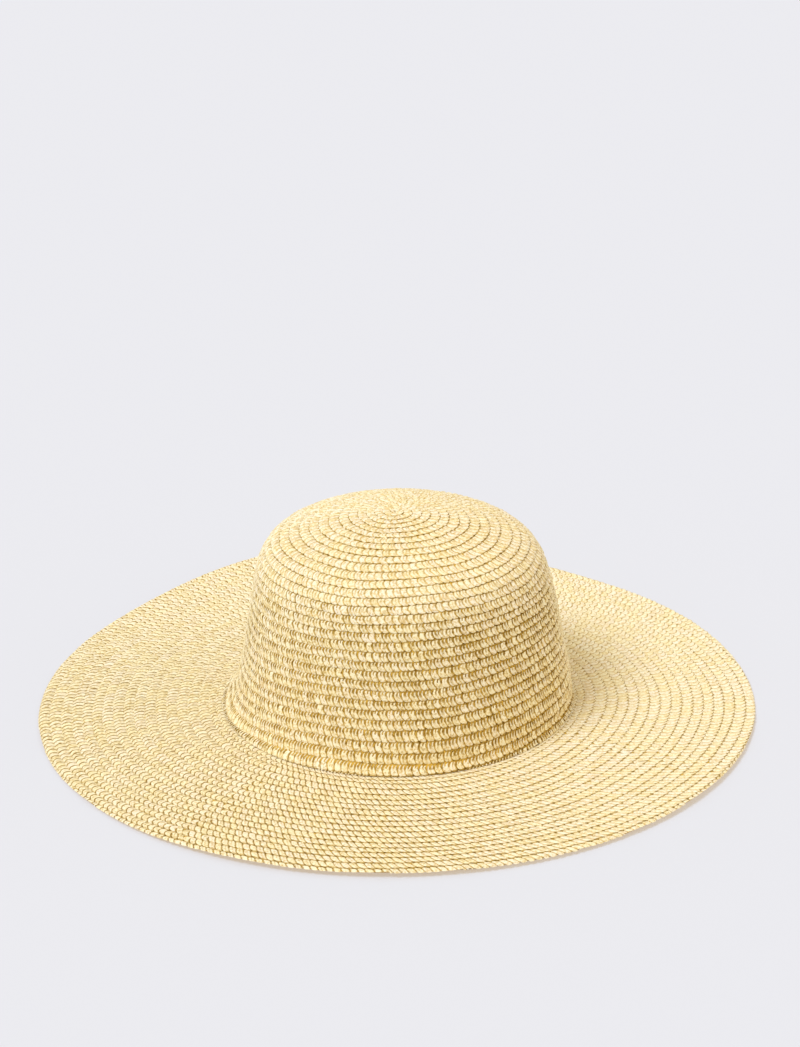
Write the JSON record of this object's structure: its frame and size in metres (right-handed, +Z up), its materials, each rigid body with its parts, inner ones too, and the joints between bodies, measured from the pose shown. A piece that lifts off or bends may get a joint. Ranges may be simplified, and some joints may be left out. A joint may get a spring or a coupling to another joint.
{
  "type": "wide-brim straw hat",
  "caption": "Wide-brim sun hat of pale straw braid sewn in a coil, with a rounded tapering crown open below and a broad, slightly waved flat brim.",
  "frame": {"origin": "middle of the hat on the surface that its brim rests on", "axes": "+Z up through the crown, +X to the wearer's left hand side as the hat faces -Y, +Y to the back"},
  "size_m": [0.4, 0.4, 0.1166],
  "materials": {
    "crown_straw": "pale cream straw braid, matt, with golden gaps between its strands",
    "brim_straw": "pale cream straw braid, matt, with golden gaps between its strands"
  },
  "bodies": {
    "root": {"crown": "crown_straw", "brim": "brim_straw"}
  },
  "joints": []
}
